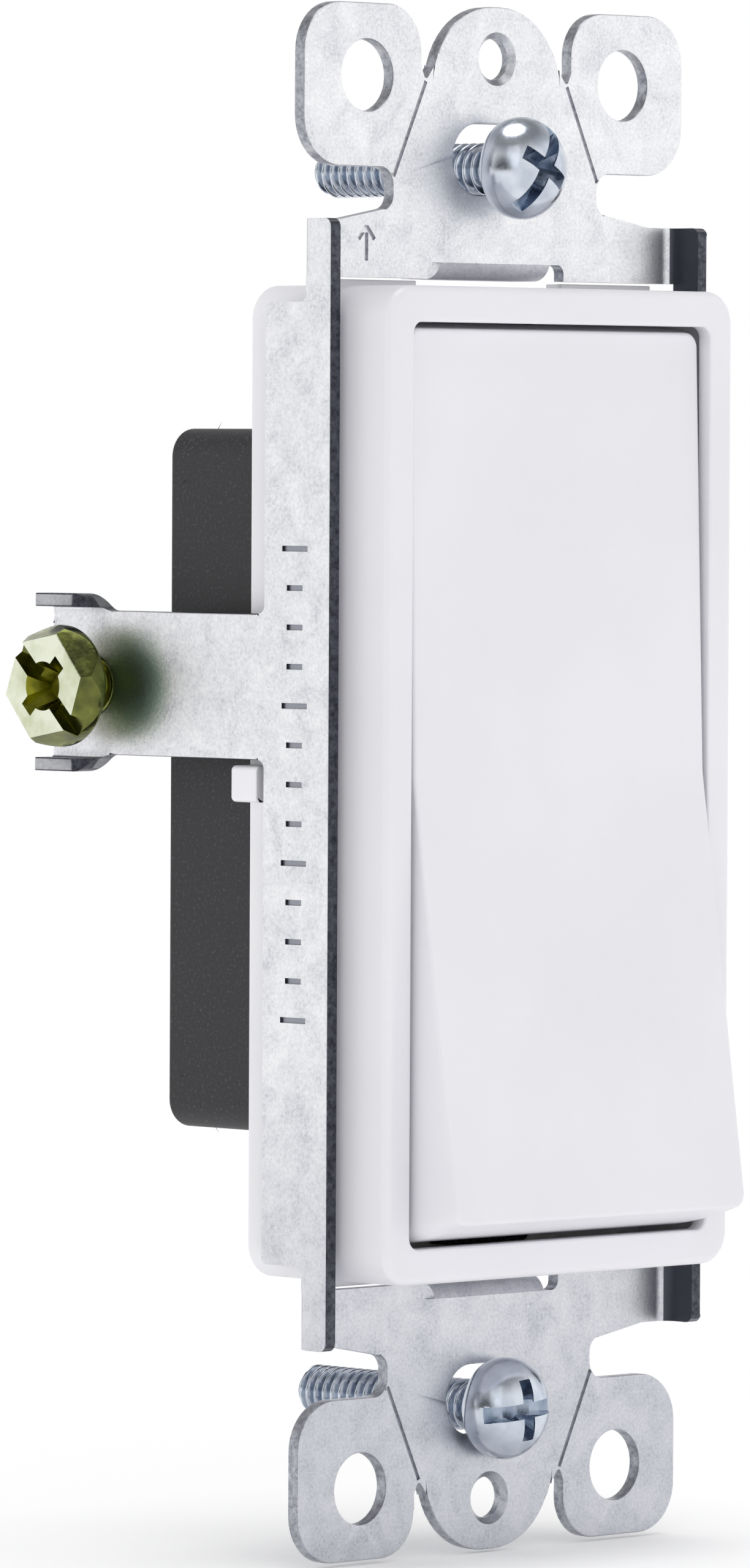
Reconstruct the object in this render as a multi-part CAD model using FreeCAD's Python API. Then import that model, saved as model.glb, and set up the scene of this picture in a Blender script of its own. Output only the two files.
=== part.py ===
"""Decorator wall switch with a rocking paddle, built piece by piece.

Millimetres. +X is right as seen from the room, +Z is up, and the room is on the -Y side.
The origin is the centre of the strap's back face, the plane that rests on the wall.
"""
import FreeCAD, Part
import math
import os

V = FreeCAD.Vector

# ---- driving dimensions --------------------------------------------------------------
SHEET = 0.9                 # strap steel
GAP = 0.05                  # running fit, radial

# strap, in the plane of the wall
EAR_HOLE_X, EAR_HOLE_Z, EAR_HOLE_R = 12.16, 47.0, 2.4
EAR_OUT_X, EAR_TOP_Z, EAR_LOW_Z = 18.0, 51.8, 40.95
TONGUE_TOP_Z, TONGUE_HALF = 51.9, 5.75
PLATE_HOLE_Z, PLATE_HOLE_R = 48.42, 1.4      # wall-plate screws, 96.8 apart
SLOT_Z, SLOT_LONG, SLOT_TALL = 41.67, 8.2, 4.75
SHOULDER_Z = 37.4           # top of the side flanges
OPENING_Z = 33.6            # edge of the opening that takes the housing
RAIL_X = 17.95              # outside of the side rails
RAIL_FRONT, RAIL_BACK, RAIL_HALF_Z = -3.4, 2.73, 31.9
BEND_OUT = 1.9              # outside radius of the rail's bend
LIP_HALF, RELIEF_HALF = 5.2, 6.5

# ground tab on the left rail
TAB_LOW, TAB_TOP, TAB_END = 1.55, 11.25, 23.3
WING_START, WING_OUT, WING_RAMP = 17.2, 1.7, 2.6
GROUND_Y, GROUND_Z = 19.4, 6.2
GROUND_HOLE_R, GROUND_SCREW_R, GROUND_SCREW_LEN = 2.1, 2.05, 4.6
GROUND_HEAD_X = -20.4       # underside of the head

# stampings
STAMP_DEEP, STAMP_HALF, BAR_HALF = 0.18, 0.16, 0.19
ARROW_X, ARROW_Z = -12.2, 36.0
BAR_COUNT, BAR_PITCH, BAR_TOP_Z, BAR_Y = 13, 2.6, 15.6, -0.15

# plastic shells
FACE_Y = -7.46
FRAME_X, FRAME_Z, FRAME_R = 16.39, 33.0, 2.2
WINDOW_X, WINDOW_Z, WINDOW_R = 14.14, 30.6, 0.8
LIP_DEPTH = 1.2             # thickness of the bezel around the window
JOINT_Y = -0.3              # where the frame meets the cover
COVER_X, COVER_Z, COVER_R = 16.57, 33.05, 2.3
COVER_BACK = 5.63
DECK_FRONT, DECK_BACK = 1.2, 2.4
STOP_Y = -0.48              # front of the soft stop pads
BODY_X, BODY_Z, BODY_R, BODY_BACK = 14.95, 23.53, 1.9, 15.06
WALL = 1.5

# paddle: drawn level, then tipped to the position in which its lower end stands out
PIVOT_Y = -1.1
TIP_DEG = 4.9
PADDLE_X, PADDLE_SWEEP_R = 13.8, 30.65
PADDLE_MID_Y, PADDLE_VEE_DEG = -7.4, 3.3
PADDLE_SKIRT_Y, PADDLE_WALL = -3.2, 1.6
TRUNNION_R, TRUNNION_IN, TRUNNION_OUT = 1.4, 9.2, 11.0
EAR_WIDE = 1.4
POST_R, POST_BORE_R, POST_END, POST_FLOOR = 2.6, 1.8, 6.1, -2.0   # along the post from the pivot
NOSE_R, NOSE_AT = 1.6, 8.89

# contact rocker and terminals
ROCKER_Y, ROCKER_T, ROCKER_LEN, ROCKER_HALF = 9.5, 0.65, 11.2, 2.4
ROCKER_TILT = 10.0
CONTACT_Z, CONTACT_R = 9.7, 1.6
TERM_Z, TERM_Y = 12.7, 10.2
TERM_PLATE_X, BRASS = 12.2, 0.9
TERM_SCREW_R, TERM_SCREW_LEN, TERM_HEAD_X = 2.0, 5.0, 15.3
ARM_NEAR_Z, ARM_FAR_Z, TONGUE_WIDE = 13.6, 16.6, 2.6   # arms along the floor of the black body
FLOOR_Y = BODY_BACK - WALL
WIRE_X, WIRE_Z, WIRE_R = 8.6, 9.5, 1.35
BOSS_X, BOSS_Z, BOSS_R = 11.5, 20.2, 2.25
PILOT_R, CLEARANCE_R = 0.95, 1.15            # cover and black body, for the assembly screws
COUNTERBORE_R, COUNTERBORE_DEEP = 2.05, 1.7
FRAME_IN_X, FRAME_IN_Z = 14.9, 31.8
CLIP_Z, CLIP_HALF = 20.0, 3.0                # snap legs of the frame
PAD_HALF, PAD_IN_Z, PAD_OUT_Z = 4.0, 28.9, 31.2

# screws
BOX_SCREW_R, BOX_HEAD_R, BOX_HEAD_H, BOX_SCREW_LEN = 1.75, 3.43, 2.9, 18.0
BOX_SCREW_DROP = 0.6        # the loose screws rest on the lower side of their slots
UPPER_HEAD_Y, LOWER_HEAD_Y = -2.6, -1.6
THREAD_PITCH = 0.794


# ---- helpers -------------------------------------------------------------------------
def box(x0, x1, y0, y1, z0, z1):
    return Part.makeBox(x1 - x0, y1 - y0, z1 - z0, V(x0, y0, z0))


def rod(r, start, direction, length):
    return Part.makeCylinder(r, length, V(*start), V(*direction))


def rounded_wire(points, place):
    """Closed wire through (u, v, radius) corners; place(u, v) puts a point in space."""
    flat = [V(u, v, 0) for u, v, _ in points]
    edges, starts, ends = [], [], []
    for i, (u, v, r) in enumerate(points):
        here = flat[i]
        back = (flat[i - 1] - here).normalize()
        ahead = (flat[(i + 1) % len(flat)] - here).normalize()
        if r <= 0:
            starts.append(here)
            ends.append(here)
            edges.append(None)
            continue
        half = back.getAngle(ahead) / 2.0
        reach = r / math.tan(half)
        a, b = here + back * reach, here + ahead * reach
        middle = (back + ahead).normalize()
        m = here + middle * (r / math.sin(half) - r)
        starts.append(a)
        ends.append(b)
        edges.append((a, m, b))
    made = []
    for i in range(len(points)):
        if edges[i]:
            made.append(Part.Arc(*[place(p.x, p.y) for p in edges[i]]).toShape())
        a, b = ends[i], starts[(i + 1) % len(points)]
        if a.distanceToPoint(b) > 1e-6:
            made.append(Part.makeLine(place(a.x, a.y), place(b.x, b.y)))
    return Part.Wire(made)


def slab_y(points, y0, y1):
    """Outline in X-Z, thick along Y."""
    wire = rounded_wire(points, lambda u, v: V(u, y0, v))
    return Part.Face(wire).extrude(V(0, y1 - y0, 0))


def slab_x(points, x0, x1):
    """Outline in Y-Z, thick along X."""
    wire = rounded_wire(points, lambda u, v: V(x0, u, v))
    return Part.Face(wire).extrude(V(x1 - x0, 0, 0))


def slab_z(points, z0, z1):
    """Outline in X-Y, thick along Z."""
    wire = rounded_wire(points, lambda u, v: V(u, v, z0))
    return Part.Face(wire).extrude(V(0, 0, z1 - z0))


def block(half_x, half_z, r, y0, y1):
    return slab_y([(-half_x, -half_z, r), (half_x, -half_z, r),
                   (half_x, half_z, r), (-half_x, half_z, r)], y0, y1)


def soften(shape, r, wanted):
    """Fillet the edges whose centre passes the test wanted(point, edge)."""
    picked = [e for e in shape.Edges if wanted(e.CenterOfMass, e)]
    return shape.makeFillet(r, picked) if picked else shape


def mirror_x(shape):
    return shape.mirror(V(0, 0, 0), V(1, 0, 0))


def mirror_z(shape):
    return shape.mirror(V(0, 0, 0), V(0, 0, 1))


def fuse(first, *others):
    return first.fuse(list(others)).removeSplitter()


def tip_paddle(shape):
    shape.rotate(V(0, PIVOT_Y, 0), V(1, 0, 0), -TIP_DEG)
    return shape


def threaded(r, length, pitch=THREAD_PITCH):
    """Screw shank along +Z from the origin, its thread cut as rings, with a chamfered tip."""
    depth = 0.6 * pitch
    pts = [V(0, 0, 0), V(r - depth, 0, 0)]
    turns = int((length - 0.6) / pitch)
    z = 0.0
    for _ in range(turns):
        pts += [V(r - depth, 0, z + 0.15 * pitch), V(r, 0, z + 0.5 * pitch),
                V(r, 0, z + 0.62 * pitch), V(r - depth, 0, z + 0.97 * pitch)]
        z += pitch
    pts += [V(r - depth, 0, length - 0.3), V(r - depth - 0.3, 0, length), V(0, 0, length), V(0, 0, 0)]
    clean = [pts[0]]
    for p in pts[1:]:
        if p.distanceToPoint(clean[-1]) > 1e-6:
            clean.append(p)
    return Part.Face(Part.makePolygon(clean)).revolve(V(0, 0, 0), V(0, 0, 1), 360)


def cross_recess(r, depth, width, slot_half, slot_depth=0.45):
    """Cutter for a combination recess: a tapering cross and one longer slot, opening at z = 0."""
    cutter = None
    for turn in (0, 90):
        arm = Part.Face(Part.makePolygon([V(-r, 0, 0.5), V(r, 0, 0.5), V(r, 0, 0), V(0.35 * r, 0, -depth),
                                          V(-0.35 * r, 0, -depth), V(-r, 0, 0), V(-r, 0, 0.5)]))
        arm = arm.extrude(V(0, width, 0))
        arm.translate(V(0, -width / 2, 0))
        arm.rotate(V(0, 0, 0), V(0, 0, 1), turn)
        cutter = arm if cutter is None else cutter.fuse(arm)
    heart = Part.makeCone(0.35 * r, 0.72 * r, depth, V(0, 0, -depth), V(0, 0, 1))
    slot = Part.makeBox(2 * slot_half, width * 1.05, slot_depth * depth + 0.5,
                        V(-slot_half, -width * 0.525, -slot_depth * depth))
    return cutter.fuse(heart).fuse(slot)


def round_head(r, height, recess):
    """Screw head on z >= 0: low rim, domed crown, combination recess."""
    rim = 0.33 * height
    dome = Part.Wire([Part.makeLine(V(0, 0, 0), V(r * 0.97, 0, 0)),
                      Part.makeLine(V(r * 0.97, 0, 0), V(r, 0, rim * 0.5)),
                      Part.makeLine(V(r, 0, rim * 0.5), V(r, 0, rim)),
                      Part.Arc(V(r, 0, rim), V(r * 0.8, 0, rim + 0.66 * (height - rim)),
                               V(0, 0, height)).toShape(),
                      Part.makeLine(V(0, 0, height), V(0, 0, 0))])
    head = Part.Face(dome).revolve(V(0, 0, 0), V(0, 0, 1), 360)
    recess.translate(V(0, 0, height))
    return max(head.cut(recess).Solids, key=lambda solid: solid.Volume)


def placed(shape, origin, outward, spin=0.0):
    """Stand a +Z part on origin with its +Z turned to outward, after a spin about +Z."""
    shape.rotate(V(0, 0, 0), V(0, 0, 1), spin)
    turn = FreeCAD.Rotation(V(0, 0, 1), V(*outward))
    shape.Placement = FreeCAD.Placement(V(*origin), turn).multiply(shape.Placement)
    return shape


# ---- the strap -----------------------------------------------------------------------
def strap_end():
    """Everything above the opening: shoulder, screw slot, tongue and the two break-off ears."""
    vee_x, vee_z = 6.72, 46.75
    notch_x, slope_z = 9.7, 38.3
    right = [(TONGUE_HALF, TONGUE_TOP_Z, 5.6), (6.0, 47.7, 0.5), (vee_x, vee_z, 0.22), (7.15, 47.7, 0.5),
             (7.05, EAR_TOP_Z, 3.0), (EAR_OUT_X, EAR_TOP_Z, 3.3), (EAR_OUT_X, EAR_LOW_Z, 3.3),
             (notch_x, EAR_LOW_Z, 1.2), (notch_x, slope_z, 1.0), (14.7, SHOULDER_Z, 0.6),
             (RAIL_X - BEND_OUT, SHOULDER_Z, 0), (RAIL_X - BEND_OUT, OPENING_Z, 0)]
    left = [(-x, z, r) for x, z, r in reversed(right)]
    plate = slab_y(right + left, -SHEET, 0)

    hook = Part.Face(rounded_wire(
        [(RAIL_X - BEND_OUT, 0, 0), (RAIL_X, 0, BEND_OUT), (RAIL_X, -BEND_OUT - 0.05, 0),
         (RAIL_X - SHEET, -BEND_OUT - 0.05, 0), (RAIL_X - SHEET, -SHEET, BEND_OUT - SHEET),
         (RAIL_X - BEND_OUT, -SHEET, 0)],
        lambda u, v: V(u, v, OPENING_Z))).extrude(V(0, 0, SHOULDER_Z - OPENING_Z))
    plate = fuse(plate, hook, mirror_x(hook))

    relief = slab_y([(-RELIEF_HALF, OPENING_Z - 1, 0), (RELIEF_HALF, OPENING_Z - 1, 0),
                     (RELIEF_HALF, OPENING_Z + 1.1, 0.6), (-RELIEF_HALF, OPENING_Z + 1.1, 0.6)],
                    -SHEET - 1, 1)
    plate = plate.cut(relief)
    inner = 0.6
    bend_z = OPENING_Z + SHEET + inner
    lip = slab_x([(-SHEET, bend_z + 0.6, 0), (-SHEET, OPENING_Z, SHEET + inner), (3.0, OPENING_Z, 0.2),
                  (3.0, OPENING_Z + SHEET, 0.2), (0, OPENING_Z + SHEET, inner), (0, bend_z + 0.6, 0)],
                 -LIP_HALF, LIP_HALF)
    plate = fuse(plate, lip)

    for side in (-1, 1):
        plate = plate.cut(rod(EAR_HOLE_R, (side * EAR_HOLE_X, 1, EAR_HOLE_Z), (0, -1, 0), 3))
        plate = plate.cut(score_line(side, vee_x, vee_z, notch_x, EAR_LOW_Z - 0.6))
    plate = plate.cut(rod(PLATE_HOLE_R, (0, 1, PLATE_HOLE_Z), (0, -1, 0), 3))
    countersink = Part.makeCone(PLATE_HOLE_R, PLATE_HOLE_R + 0.4, 0.4, V(0, -SHEET + 0.4, PLATE_HOLE_Z),
                                V(0, -1, 0))
    end_r = SLOT_TALL / 2
    half = SLOT_LONG / 2
    slot = slab_y([(-half, SLOT_Z - end_r, end_r * 0.999), (half, SLOT_Z - end_r, end_r * 0.999),
                   (half, SLOT_Z + end_r, end_r * 0.999), (-half, SLOT_Z + end_r, end_r * 0.999)],
                  -SHEET - 1, 1)
    return plate.cut(countersink).cut(slot)


def score_line(side, x0, z0, x1, z1):
    """Shallow groove along which an ear snaps off, on the front face."""
    run = V(side * x1, 0, z1) - V(side * x0, 0, z0)
    groove = Part.makeBox(run.Length, 0.22, 0.3)
    groove.translate(V(0, 0, -0.15))
    groove.rotate(V(0, 0, 0), V(0, 1, 0), -math.degrees(math.atan2(run.z, run.x)))
    groove.translate(V(side * x0, -SHEET - 0.05, z0))
    return groove


def rail(with_tab):
    """Side rail, drawn on the right; the left one also carries the ground tab."""
    link_y = -BEND_OUT - 0.04
    link_back = -1.07
    outline = [(RAIL_FRONT, -SHOULDER_Z, 0.6), (RAIL_FRONT, SHOULDER_Z, 0.6), (link_y, SHOULDER_Z, 0),
               (link_y, OPENING_Z, 0), (link_back, OPENING_Z, 0), (link_back, RAIL_HALF_Z, 0.5),
               (RAIL_BACK, RAIL_HALF_Z, 0.5)]
    if with_tab:
        outline += [(RAIL_BACK, TAB_TOP, 0.6), (TAB_END, TAB_TOP, 0.9), (TAB_END, TAB_LOW, 0.9),
                    (RAIL_BACK, TAB_LOW, 0.6)]
    outline += [(RAIL_BACK, -RAIL_HALF_Z, 0.5), (link_back, -RAIL_HALF_Z, 0.5), (link_back, -OPENING_Z, 0),
                (link_y, -OPENING_Z, 0), (link_y, -SHOULDER_Z, 0)]
    strip = slab_x(outline, RAIL_X - SHEET, RAIL_X)
    if not with_tab:
        return strip
    for low, sign in ((TAB_TOP, 1), (TAB_LOW, -1)):
        strip = fuse(strip, wing(low, sign))
    hole = rod(GROUND_HOLE_R, (RAIL_X - 3, GROUND_Y, GROUND_Z), (1, 0, 0), 6)
    return mirror_x(strip.cut(hole))


def wing(edge_z, sign):
    """Small wall bent out from the edge of the ground tab; it keeps the wire under the screw head."""
    lift = 0.25
    far = edge_z + sign * (SHEET + lift)
    near = edge_z + sign * lift
    section = [(RAIL_X - SHEET, edge_z - sign * 0.3, 0), (RAIL_X - SHEET, far, 1.1),
               (RAIL_X + WING_OUT, far, 0.1), (RAIL_X + WING_OUT, near, 0.1), (RAIL_X, near, 0.2),
               (RAIL_X, edge_z - sign * 0.3, 0)]
    end = TAB_END - 0.1
    wire = rounded_wire(section, lambda u, v: V(u, WING_START, v))
    bent = Part.Face(wire).extrude(V(0, end - WING_START, 0))
    ramp_end = WING_START + WING_RAMP
    swoop = slab_x([(WING_START - 1, edge_z, 0), (WING_START + 0.35 * WING_RAMP, edge_z, 1.2),
                    (ramp_end - 0.2 * WING_RAMP, far, 0.8), (ramp_end + 0.5, far + sign * 0.02, 0),
                    (ramp_end + 0.5, far + sign, 0), (WING_START - 1, far + sign, 0)],
                   RAIL_X - SHEET - 1, RAIL_X + WING_OUT + 1)
    ramp = slab_z([(RAIL_X, WING_START - 1, 0), (RAIL_X, WING_START + 0.4, 0),
                   (RAIL_X + WING_OUT + 0.1, ramp_end, 0), (RAIL_X + WING_OUT + 1, ramp_end, 0),
                   (RAIL_X + WING_OUT + 1, WING_START - 1, 0)],
                  min(far, edge_z) - 1, max(far, edge_z) + 1)
    return bent.cut(ramp).cut(swoop)


def stamped_marks():
    """Shallow stampings: an arrow that points up, and plain gauge bars along the left rail."""
    cut_front, cut_back = -SHEET - 0.1, -SHEET + STAMP_DEEP
    marks = [box(ARROW_X - STAMP_HALF, ARROW_X + STAMP_HALF, cut_front, cut_back,
                 ARROW_Z - 1.3, ARROW_Z + 0.9)]
    for lean in (-40, 40):
        barb = box(-STAMP_HALF, STAMP_HALF, cut_front, cut_back, -1.15, 0)
        barb.rotate(V(0, 0, 0), V(0, 1, 0), lean)
        barb.translate(V(ARROW_X, 0, ARROW_Z + 1.0))
        marks.append(barb)
    for i in range(BAR_COUNT):
        half_long = 1.2 if i % 4 == 0 else 0.75
        z = BAR_TOP_Z - BAR_PITCH * i
        marks.append(box(-RAIL_X - 0.1, -RAIL_X + STAMP_DEEP, BAR_Y - half_long, BAR_Y + half_long,
                         z - BAR_HALF, z + BAR_HALF))
    return marks


def mounting_strap():
    end = strap_end()
    strap = fuse(end, mirror_z(end), rail(False), rail(True))
    for mark in stamped_marks():
        strap = strap.cut(mark)
    return strap


# ---- plastic shells ------------------------------------------------------------------
def front_frame():
    shell = block(FRAME_X, FRAME_Z, FRAME_R, FACE_Y, JOINT_Y)
    shell = soften(shell, 0.6, lambda p, e: abs(p.y - FACE_Y) < 0.01)
    inside = block(FRAME_IN_X, FRAME_IN_Z, 1.0, FACE_Y + LIP_DEPTH, JOINT_Y + 1)
    shell = shell.cut(inside)
    window = block(WINDOW_X, WINDOW_Z, WINDOW_R, FACE_Y - 1, FACE_Y + LIP_DEPTH + 1)
    shell = shell.cut(window)
    shell = soften(shell, 0.2, lambda p, e: abs(p.y - FACE_Y) < 0.01 and abs(p.x) < WINDOW_X + 0.05
                   and abs(p.z) < WINDOW_Z + 0.05)
    for side in (-1, 1):
        for up in (-1, 1):
            x0, x1 = sorted((side * (FRAME_IN_X + 0.05), side * (FRAME_IN_X - 0.65)))
            shell = fuse(shell, box(x0, x1, -5.2, 0.9, up * CLIP_Z - CLIP_HALF, up * CLIP_Z + CLIP_HALF))
    return shell


def housing_cover():
    body = block(COVER_X, COVER_Z, COVER_R, JOINT_Y, COVER_BACK)
    body = soften(body, 0.35, lambda p, e: abs(p.y - COVER_BACK) < 0.01)
    body = body.cut(block(15.0, 31.5, 1.2, JOINT_Y - 1, DECK_FRONT))
    body = body.cut(block(BODY_X - WALL, BODY_Z - WALL, 1.0, DECK_BACK, COVER_BACK + 1))
    for up in (-1, 1):
        z0, z1 = sorted((up * 25.2, up * 31.2))
        body = body.cut(box(-14.8, -0.6, 3.4, COVER_BACK + 1, z0, z1))
        body = body.cut(box(0.6, 14.8, 3.4, COVER_BACK + 1, z0, z1))
        for side in (-1, 1):
            x0, x1 = sorted((side * (RELIEF_HALF + 0.4), side * 15.6))
            z0, z1 = sorted((up * 32.0, up * (OPENING_Z - 0.15)))
            body = fuse(body, box(x0, x1, JOINT_Y, DECK_FRONT, z0, z1))
    body = body.cut(box(-3.4, 3.4, 0, DECK_BACK + 0.5, -4.7, 4.7))
    for side in (-1, 1):
        body = fuse(body, bearing(side), latch_lug(side))
        for up in (-1, 1):
            at = (side * BOSS_X, DECK_BACK - 0.2, up * BOSS_Z)
            body = fuse(body, rod(BOSS_R, at, (0, 1, 0), COVER_BACK - DECK_BACK + 0.2))
    for side in (-1, 1):
        for up in (-1, 1):
            at = (side * BOSS_X, DECK_FRONT + 0.3, up * BOSS_Z)
            body = body.cut(rod(PILOT_R, at, (0, 1, 0), 6))
    return body


def bearing(side):
    """Open-mouthed cradle on the deck that a trunnion snaps into from the front."""
    x0, x1 = sorted((side * (TRUNNION_IN - 0.2), side * (TRUNNION_OUT - 0.4)))
    high = PIVOT_Y - 2.3
    arms = slab_x([(DECK_FRONT + 0.1, -3.6, 0), (DECK_FRONT + 0.1, 3.6, 0), (high, 2.7, 0.8),
                   (high, -2.7, 0.8)], x0, x1)
    bore = rod(TRUNNION_R + GAP, (x0 - 1, PIVOT_Y, 0), (1, 0, 0), x1 - x0 + 2)
    mouth = box(x0 - 1, x1 + 1, high - 1, PIVOT_Y, -1.1, 1.1)
    return arms.cut(bore).cut(mouth)


def latch_lug(side):
    """Nib on the side wall that hooks behind the strap's rail."""
    lug = slab_y([(COVER_X - 0.6, -1.3, 0), (RAIL_X - 0.1, -1.3, 0.35), (RAIL_X - 0.1, 1.15, 0.35),
                  (COVER_X - 0.6, 1.15, 0)], RAIL_BACK + 0.8, 6.1)
    lug = soften(lug, 0.35, lambda p, e: abs(p.y - 6.1) < 0.01 and p.x > COVER_X)
    return lug if side > 0 else mirror_x(lug)


def rear_housing():
    body = block(BODY_X, BODY_Z, BODY_R, COVER_BACK, BODY_BACK)
    body = soften(body, 0.4, lambda p, e: abs(p.y - BODY_BACK) < 0.01)
    body = body.cut(block(BODY_X - WALL, BODY_Z - WALL, 1.0, COVER_BACK - 1, FLOOR_Y))
    for side in (-1, 1):
        for up in (-1, 1):
            x, z = side * BOSS_X, up * BOSS_Z
            body = fuse(body, rod(BOSS_R, (x, COVER_BACK, z), (0, 1, 0), FLOOR_Y - COVER_BACK + 0.2))
    for side in (-1, 1):
        for up in (-1, 1):
            x, z = side * BOSS_X, up * BOSS_Z
            body = body.cut(rod(CLEARANCE_R, (x, COVER_BACK - 1, z), (0, 1, 0), 12))
            body = body.cut(rod(COUNTERBORE_R, (x, BODY_BACK - COUNTERBORE_DEEP, z), (0, 1, 0), 3))
    for up in (-1, 1):
        z = up * TERM_Z
        bay = slab_x([(6.3, z - 4.6, 1.2), (13.9, z - 4.6, 1.2), (13.9, z + 4.6, 1.2), (6.3, z + 4.6, 1.2)],
                     BODY_X - WALL - 0.2, BODY_X + 1)
        body = body.cut(bay)
        body = body.cut(rod(WIRE_R, (WIRE_X, FLOOR_Y - 1, up * WIRE_Z), (0, 1, 0), 5))
        lead_in = Part.makeCone(WIRE_R, WIRE_R + 0.55, 0.55, V(WIRE_X, BODY_BACK - 0.55, up * WIRE_Z),
                                V(0, 1, 0))
        body = body.cut(lead_in)
        z0, z1 = sorted((up * 11.55, up * 13.15))
        body = body.cut(box(WIRE_X - 1.3, WIRE_X + 1.3, FLOOR_Y - 1, BODY_BACK + 1, z0, z1))
    gauge = box(-9.2, -8.6, BODY_BACK - 0.3, BODY_BACK + 1, -6, 6)
    ends = [box(-10.6, -7.2, BODY_BACK - 0.3, BODY_BACK + 1, z - 0.3, z + 0.3) for z in (-6, 6)]
    return body.cut(gauge).cut(ends[0]).cut(ends[1])


# ---- paddle and what it carries ------------------------------------------------------
def paddle_profile(inset, skirt_y):
    """Side view of the paddle, level: shallow vee in front, ends swept about the pivot."""
    slope = math.tan(math.radians(PADDLE_VEE_DEG))
    r = PADDLE_SWEEP_R - inset
    mid = PADDLE_MID_Y + inset - PIVOT_Y
    a, b, c = 1 + slope ** 2, -2 * mid * slope, mid ** 2 - r ** 2
    end_z = (-b + math.sqrt(b * b - 4 * a * c)) / (2 * a)
    end_y = mid - slope * end_z
    foot_y = skirt_y - PIVOT_Y
    foot_z = math.sqrt(r ** 2 - foot_y ** 2)
    half_y = (end_y + foot_y) / 2
    half_z = math.sqrt(r ** 2 - half_y ** 2)
    shift = PIVOT_Y

    def at(y, z):
        return V(0, y + shift, z)

    edges = [Part.makeLine(at(mid, 0), at(end_y, end_z)),
             Part.Arc(at(end_y, end_z), at(half_y, half_z), at(foot_y, foot_z)).toShape(),
             Part.makeLine(at(foot_y, foot_z), at(foot_y, -foot_z)),
             Part.Arc(at(foot_y, -foot_z), at(half_y, -half_z), at(end_y, -end_z)).toShape(),
             Part.makeLine(at(end_y, -end_z), at(mid, 0))]
    return Part.Face(Part.Wire(edges))


def paddle():
    skin = paddle_profile(0, PADDLE_SKIRT_Y).extrude(V(2 * PADDLE_X, 0, 0))
    skin.translate(V(-PADDLE_X, 0, 0))
    skin = soften(skin, 6.0, lambda p, e: abs(p.z) < 0.1 and p.y < -7 and e.BoundBox.XLength > 20)
    skin = soften(skin, 1.0, lambda p, e: abs(abs(p.x) - PADDLE_X) < 0.01 and abs(p.z) > 29
                  and e.BoundBox.YLength > 4)
    skin = soften(skin, 0.3, lambda p, e: p.y < -7.0 and e.BoundBox.YLength < 2.0
                  and not (abs(p.z) < 2 and e.BoundBox.XLength > 20))
    hollow_face = paddle_profile(PADDLE_WALL, PADDLE_SKIRT_Y + 1)
    hollow = hollow_face.extrude(V(2 * (PADDLE_X - PADDLE_WALL), 0, 0))
    hollow.translate(V(-PADDLE_X + PADDLE_WALL, 0, 0))
    shell = skin.cut(hollow)

    top = PADDLE_MID_Y + PADDLE_WALL - 0.2
    post = rod(POST_R, (0, top, 0), (0, 1, 0), POST_END + PIVOT_Y - top)
    shell = fuse(shell, post)
    for side in (-1, 1):
        x0, x1 = sorted((side * TRUNNION_OUT, side * (TRUNNION_OUT + EAR_WIDE)))
        ear = slab_x([(top - 0.5, -4.5, 0), (top - 0.5, 4.5, 0), (PIVOT_Y + 1.9, 1.9, 1.85),
                      (PIVOT_Y + 1.9, -1.9, 1.85)], x0, x1)
        pin_x = min(side * TRUNNION_IN, side * (TRUNNION_OUT + 0.2))
        pin = rod(TRUNNION_R, (pin_x, PIVOT_Y, 0), (1, 0, 0), TRUNNION_OUT + 0.2 - TRUNNION_IN)
        shell = fuse(shell, ear, pin)
    for z in (-19, -9.5, 9.5, 19):
        rib = box(-12.4, 12.4, top - 0.9, -3.6, z - 0.5, z + 0.5)
        shell = fuse(shell, rib)
    web = box(-0.5, 0.5, top - 0.9, -3.6, -28.8, 28.8)
    shell = fuse(shell, web)
    bore = rod(POST_BORE_R, (0, PIVOT_Y + POST_FLOOR, 0), (0, 1, 0), 10)
    return tip_paddle(shell.cut(bore))


def plunger():
    """Nose that slides in the post and rides on the contact rocker."""
    body_start = 4.3
    half = [V(0, 0, 2.2), V(0.85, 0, 2.2), V(0.85, 0, body_start), V(POST_BORE_R - GAP, 0, body_start),
            V(POST_BORE_R - GAP, 0, 7.6), V(NOSE_R, 0, 7.9), V(NOSE_R, 0, NOSE_AT)]
    edges = [Part.makeLine(a, b) for a, b in zip(half, half[1:])]
    corner = NOSE_R * math.sqrt(0.5)
    edges.append(Part.Arc(V(NOSE_R, 0, NOSE_AT), V(corner, 0, NOSE_AT + corner),
                          V(0, 0, NOSE_AT + NOSE_R)).toShape())
    edges.append(Part.makeLine(V(0, 0, NOSE_AT + NOSE_R), half[0]))
    solid = Part.Face(Part.Wire(edges)).revolve(V(0, 0, 0), V(0, 0, 1), 360)
    return tip_paddle(placed(solid, (0, PIVOT_Y, 0), (0, 1, 0)))


def plunger_spring():
    wire_r, coil_r, start, end = 0.2, 1.4, POST_FLOOR + 0.25, 4.05
    path = Part.makeHelix((end - start) / 7.0, end - start, coil_r)
    ring = Part.Wire([Part.makeCircle(wire_r, V(coil_r, 0, 0), V(0, 1, 0))])
    coil = Part.Wire(path.Edges).makePipeShell([ring], True, True)
    coil.translate(V(0, 0, start))
    return tip_paddle(placed(coil, (0, PIVOT_Y, 0), (0, 1, 0)))


def quiet_stop_pads():
    """Soft pads on the deck that the ends of the paddle land on."""
    pads = []
    for up in (-1, 1):
        z0, z1 = sorted((up * PAD_IN_Z, up * PAD_OUT_Z))
        outline = [(-PAD_HALF, z0, 0.5), (PAD_HALF, z0, 0.5), (PAD_HALF, z1, 0.5), (-PAD_HALF, z1, 0.5)]
        pads.append(slab_y(outline, STOP_Y, DECK_FRONT))
    return Part.makeCompound(pads)


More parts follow.
